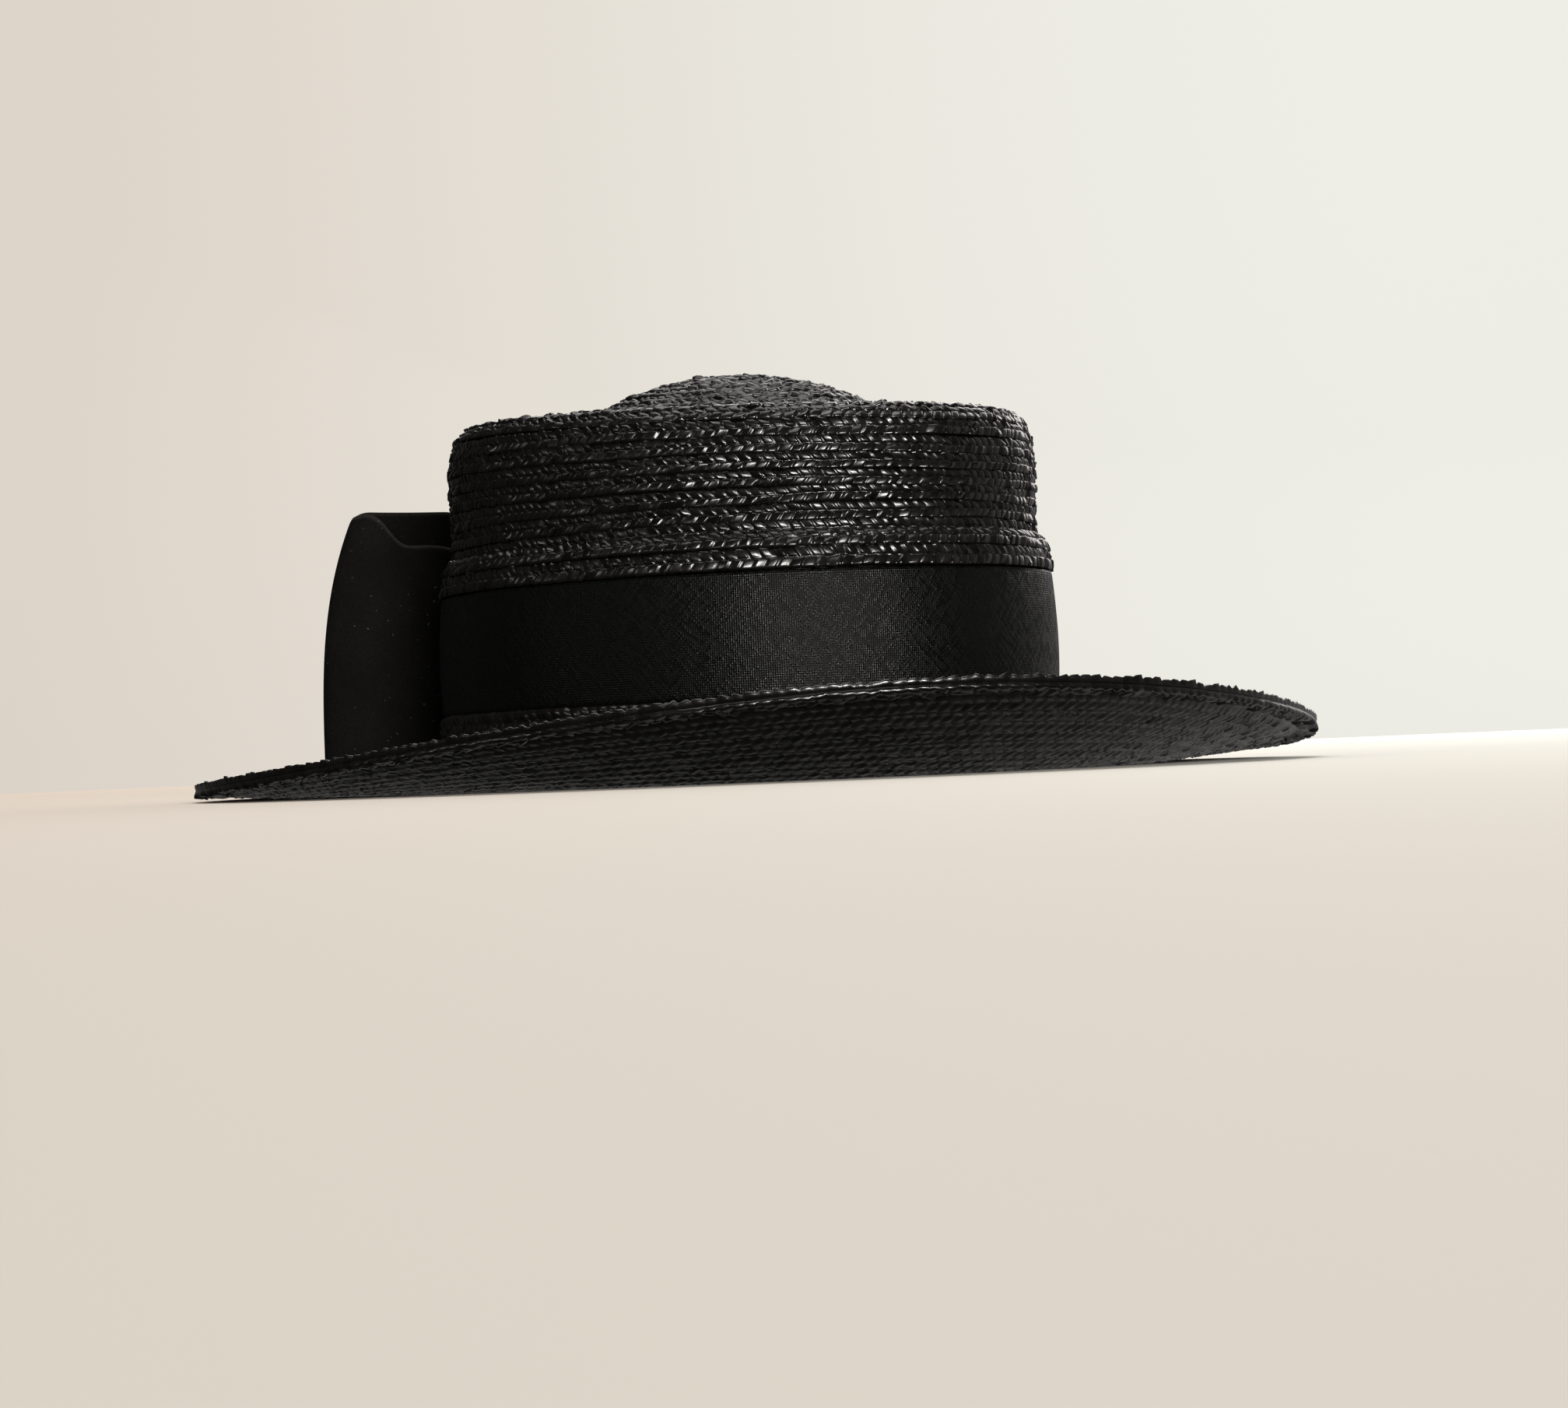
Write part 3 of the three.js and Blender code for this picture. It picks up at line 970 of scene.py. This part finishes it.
class HAT_OT_bow(bpy.types.Operator):
    """Folds the two ribbon loops and wraps the knot between them"""

    bl_idname = "hat.bow"
    bl_label = "Bow"

    STEPS_ALONG = 90
    STEPS_UP = 22
    FOLD_BOTTOM = 3.8 * MM
    FOLD_TOP = 88 * MM
    CINCH_BOTTOM = 23.5 * MM
    CINCH_TOP = 62 * MM
    # How soon the loop widens from the knot, below and above; the inner layer widens later
    SPREAD_BELOW = 1.7
    SPREAD_ABOVE = 2.1
    INNER_DELAY = 0.6
    LAYER_BLEND = 8 * MM
    INNER_DIP = 12 * MM
    DIP_START = 4
    LEAN = 13.5 * MM
    CORNER = 2.5 * MM
    CORNER_SHARE = 0.12
    GATHER = 0.9 * MM
    GATHERS = 5.5 * math.pi
    GATHER_SKEW = 4
    GATHER_END = 1.5
    RIPPLE = 0.5 * MM
    RIPPLES_ALONG = 9
    RIPPLES_UP = 4
    TUCK = 1.0 * MM

    KNOT_STEPS = (64, 20)
    KNOT_INSET = 0.8 * MM
    KNOT_SQUARENESS = 3.2
    KNOT_WAIST = 0.10
    PLEAT = 0.6 * MM
    PLEATS = 5 * math.pi
    PLEAT_MEAN = 0.6
    PLEAT_OUTSIDE = 0.4

    def loop_line(self):
        """The loop in plan, out along its inner layer and back, and the way along it."""
        inner = [(along, near) for along, near, far in LOOP_PLAN]
        outer = [(along, far) for along, near, far in LOOP_PLAN]
        line = spline(np.array([*inner, LOOP_TIP, *outer[::-1]]) * MM, LINE_SPACING)
        step = np.linalg.norm(np.diff(line, axis=0), axis=1)
        return line, np.concatenate([[0], np.cumsum(step)])

    def loop_shape(self, side, line, run):
        low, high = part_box("bow_knot")
        centre = (low.y + high.y) / 2

        def shape(along, up):
            x = np.interp(along * run[-1], run, line[:, 0])
            y = np.interp(along * run[-1], run, line[:, 1])
            reach = x / (LOOP_TIP[0] * MM)
            inner = smooth(0.5 - y / self.LAYER_BLEND)
            spread = smooth(reach * self.SPREAD_BELOW)
            flare = smooth(reach * (self.SPREAD_ABOVE - self.INNER_DELAY * inner))
            dip = inner * self.INNER_DIP * smooth((1 - reach) * self.DIP_START)
            near = np.clip((reach - 1) / self.CORNER_SHARE + 1, 0, 1)
            rounding = self.CORNER * near ** 2
            top = self.CINCH_TOP + (self.FOLD_TOP - self.CINCH_TOP - dip) * flare - rounding
            bottom = self.CINCH_BOTTOM + (self.FOLD_BOTTOM - self.CINCH_BOTTOM) * spread
            z = bottom + (top - bottom) * up
            rise = (z - self.FOLD_BOTTOM) / (self.FOLD_TOP - self.FOLD_BOTTOM)
            lean = self.LEAN * reach * rise**3
            gather = self.GATHER * smooth(1 - reach * self.GATHER_END)
            gather = gather * np.sin(up * self.GATHERS + along * self.GATHER_SKEW)
            ripple = self.RIPPLE * np.sin(self.RIPPLES_ALONG * along + self.RIPPLES_UP * up)
            y = y + gather + ripple * spread
            return np.stack([side * (high.x - self.TUCK + x - lean), centre + y, z], axis=-1)

        return shape

    def knot_shape(self):
        low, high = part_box("bow_knot")
        half_y = (high.y - low.y) / 2 - self.KNOT_INSET
        half_z = (high.z - low.z) / 2 - self.KNOT_INSET
        centre_y, centre_z = (high.y + low.y) / 2, (high.z + low.z) / 2

        def shape(along, across):
            angle = 2 * math.pi * along
            c, s = np.cos(angle), np.sin(angle)
            power = self.KNOT_SQUARENESS
            size = (np.abs(c) ** power + np.abs(s) ** power) ** (-1 / power)
            depth = self.PLEAT_MEAN + self.PLEAT_OUTSIDE * c
            pleat = self.PLEAT * np.sin(across * self.PLEATS) * depth
            waist = 1 - self.KNOT_WAIST * np.sin(math.pi * across)
            x = (across - 0.5) * (high.x - low.x)
            y = centre_y + (half_y * size + pleat) * c
            z = centre_z + half_z * size * s * waist
            return np.stack([x, y, z], axis=-1)

        return shape

    def execute(self, context):
        cloth = context.scene.hat_cloth
        finish = bow_finish(cloth)
        line, run = self.loop_line()
        loops = (("bow_right", "bow_loop_right", -1), ("bow_left", "bow_loop_left", 1))
        for name, node, side in loops:
            shape = self.loop_shape(side, line, run)
            loop = ribbon(name, self.STEPS_ALONG, self.STEPS_UP, shape, cloth.bow_thickness)
            dress(loop, finish, "bow_cloth", node)
        knot = ribbon("bow_wrap", *self.KNOT_STEPS, self.knot_shape(), cloth.bow_thickness, True)
        dress(knot, finish, "bow_cloth", "bow_knot")
        return {"FINISHED"}


class HAT_OT_stage(bpy.types.Operator):
    """Sets the paper floor, the lights and the camera"""

    bl_idname = "hat.stage"
    bl_label = "Stage"

    FLOOR_RADIUS = 1.7
    SWEEP_RADIUS = 0.9
    SWEEP_STEPS = 8
    WALL_HEIGHT = 1.6
    ROUND_STEPS = 96
    CLIP_START = 5 * MM

    # Swing from the camera in degrees, distance and height in m; size in m; watts
    SIDE_LIGHTS = {
        "fill_light": ((-62, 1.6, 0.5), (0.3, 0.3), 2.2),
        "back_light": ((165, 2.0, 1.0), (2.0, 1.2), 20),
    }
    # Place and size in m; watts
    TOP_LIGHT = ((0, 0.2, 2.2), (1.6, 1.6), 30)
    KEY_PLACE = (14, 3.0, 0.42)
    KEY_STRENGTH = 5.2
    KEY_WIDTH = math.radians(18)
    AIM = (0, 0, 0.06)
    WARM = (1.0, 0.96, 0.92)
    KEY_COLOUR = (1.0, 0.97, 0.92)
    TOP_COLOUR = (1.0, 0.98, 0.95)

    # Soft light all round: its bright side in degrees from the camera, how it fades in, its colour
    AIR_SWING = 138
    AIR_FADE = (0.2, 1.1)
    AIR_COLOUR = (1.0, 0.97, 0.94)

    def floor(self, finish):
        bpy.ops.object.select_all(action="DESELECT")
        bpy.ops.mesh.primitive_circle_add(
            vertices=self.ROUND_STEPS, radius=self.FLOOR_RADIUS, fill_type="NGON"
        )
        floor = bpy.context.active_object
        floor.name = "paper_floor"
        floor.data.materials.append(finish)
        floor.visible_glossy = False

    def wall(self, finish):
        """Paper that sweeps up from the floor all round; gloss on the hat shows the room beyond it."""
        bpy.ops.object.select_all(action="DESELECT")
        bpy.ops.mesh.primitive_circle_add(
            vertices=self.ROUND_STEPS, radius=self.FLOOR_RADIUS, fill_type="NOTHING"
        )
        wall = bpy.context.active_object
        wall.name = "paper_wall"
        bpy.ops.object.mode_set(mode="EDIT")
        bpy.ops.mesh.select_mode(type="EDGE")
        bpy.ops.mesh.select_all(action="SELECT")
        radius, height = self.FLOOR_RADIUS, 0.0
        for a in np.linspace(0, math.pi / 2, self.SWEEP_STEPS + 1)[1:]:
            wide = self.FLOOR_RADIUS + self.SWEEP_RADIUS * math.sin(a)
            high = self.SWEEP_RADIUS * (1 - math.cos(a))
            self.extrude_rim(high - height, wide / radius)
            radius, height = wide, high
        self.extrude_rim(self.WALL_HEIGHT, 1.0)
        bpy.ops.mesh.select_all(action="SELECT")
        bpy.ops.mesh.normals_make_consistent(inside=True)
        bpy.ops.object.mode_set(mode="OBJECT")
        bpy.ops.object.shade_smooth()
        wall.data.materials.append(finish)
        wall.visible_glossy = False
        wall.visible_shadow = False

    def extrude_rim(self, rise, widen):
        bpy.ops.mesh.extrude_edges_move(TRANSFORM_OT_translate={"value": (0, 0, rise)})
        bpy.ops.transform.resize(value=(widen, widen, 1), center_override=(0, 0, 0))

    def area_light(self, name, place, size, power, colour):
        light = bpy.data.lights.new(name, "AREA")
        light.shape = "RECTANGLE"
        light.size, light.size_y = size
        light.energy = power
        light.color = colour
        self.hang(light, place)

    def key_light(self, place):
        light = bpy.data.lights.new("key_light", "SUN")
        light.energy = self.KEY_STRENGTH
        light.angle = self.KEY_WIDTH
        light.color = self.KEY_COLOUR
        self.hang(light, place)

    def hang(self, light, place):
        lamp = bpy.data.objects.new(light.name, light)
        lamp.location = place
        lamp.rotation_euler = (Vector(self.AIM) - Vector(place)).to_track_quat("-Z", "Y").to_euler()
        bpy.context.scene.collection.objects.link(lamp)

    def camera(self, studio):
        a, roll = studio.azimuth, studio.roll
        right = Vector((math.cos(a), math.sin(a), 0))
        ahead = Vector((-math.sin(a), math.cos(a), 0))
        up = Vector((0, 0, 1))
        across = right * math.cos(roll) - up * math.sin(roll)
        above = right * math.sin(roll) + up * math.cos(roll)
        focal = studio.lens / SENSOR * PHOTO_WIDTH
        aim = ahead * focal + across * (PHOTO_WIDTH / 2 - studio.axis_x)
        aim += above * (studio.axis_y - PHOTO_HEIGHT / 2)
        back = -aim.normalized()
        across = above.cross(back).normalized()
        above = back.cross(across)
        data = bpy.data.cameras.new("camera")
        data.lens = studio.lens
        data.sensor_width = SENSOR
        data.sensor_fit = "HORIZONTAL"
        data.clip_start = self.CLIP_START
        camera = bpy.data.objects.new("camera", data)
        place = -ahead * studio.distance + up * studio.eye_height
        turn = Matrix((across, above, back)).transposed().to_4x4()
        camera.matrix_world = Matrix.Translation(place) @ turn
        bpy.context.scene.collection.objects.link(camera)
        bpy.context.scene.camera = camera

    def round_camera(self, studio, swing, distance, height):
        a = studio.azimuth + math.radians(swing)
        return (math.sin(a) * distance, -math.cos(a) * distance, height)

    def air(self, studio):
        """Soft light from all round, stronger behind the hat and to the right of the camera."""
        world = bpy.data.worlds.new("studio_air")
        world.use_nodes = True
        nodes = Nodes(world.node_tree)
        x, y, _ = nodes.split(nodes.node("ShaderNodeTexCoord", None, None, "Generated"))
        to_x, to_y, _ = self.round_camera(studio, self.AIR_SWING, 1.0, 0.0)
        background = world.node_tree.nodes["Background"]
        background.inputs["Color"].default_value = opaque(self.AIR_COLOUR)
        towards = x * to_x + y * to_y
        strength = nodes.ease(towards, *self.AIR_FADE, studio.air_low, studio.air_high)
        nodes.feed(background.inputs["Strength"], strength)
        bpy.context.scene.world = world

    def execute(self, context):
        studio = context.scene.hat_studio
        self.camera(studio)
        self.floor(floor_finish(studio))
        self.wall(wall_finish(studio))
        self.key_light(self.round_camera(studio, *self.KEY_PLACE))
        for name, (place, size, power) in self.SIDE_LIGHTS.items():
            self.area_light(name, self.round_camera(studio, *place), size, power, self.WARM)
        self.area_light("top_light", *self.TOP_LIGHT, self.TOP_COLOUR)
        self.air(studio)
        context.scene.view_settings.view_transform = "Standard"
        return {"FINISHED"}


STEPS = ("crown", "lip", "brim", "band", "bow", "stage")


class HAT_PT_sidebar(bpy.types.Panel):
    """Lists the hat's settings and its steps"""

    bl_label = "Straw braid hat"
    bl_idname = "HAT_PT_sidebar"
    bl_space_type = "VIEW_3D"
    bl_region_type = "UI"
    bl_category = "Hat"

    def draw(self, context):
        for group in (context.scene.hat_straw, context.scene.hat_cloth, context.scene.hat_studio):
            box = self.layout.box()
            for key in group.__annotations__:
                box.prop(group, key)
        for step in STEPS:
            self.layout.operator(f"hat.{step}")


CLASSES = (
    HatStraw, HatCloth, HatStudio,
    HAT_OT_crown, HAT_OT_lip, HAT_OT_brim, HAT_OT_band, HAT_OT_bow, HAT_OT_stage,
    HAT_PT_sidebar,
)


def register():
    for cls in CLASSES:
        bpy.utils.register_class(cls)
    bpy.types.Scene.hat_straw = bpy.props.PointerProperty(type=HatStraw)
    bpy.types.Scene.hat_cloth = bpy.props.PointerProperty(type=HatCloth)
    bpy.types.Scene.hat_studio = bpy.props.PointerProperty(type=HatStudio)


def unregister():
    del bpy.types.Scene.hat_straw
    del bpy.types.Scene.hat_cloth
    del bpy.types.Scene.hat_studio
    for cls in reversed(CLASSES):
        bpy.utils.unregister_class(cls)


def main():
    register()
    for step in STEPS:
        getattr(bpy.ops.hat, step)()


if __name__ == "__main__":
    main()
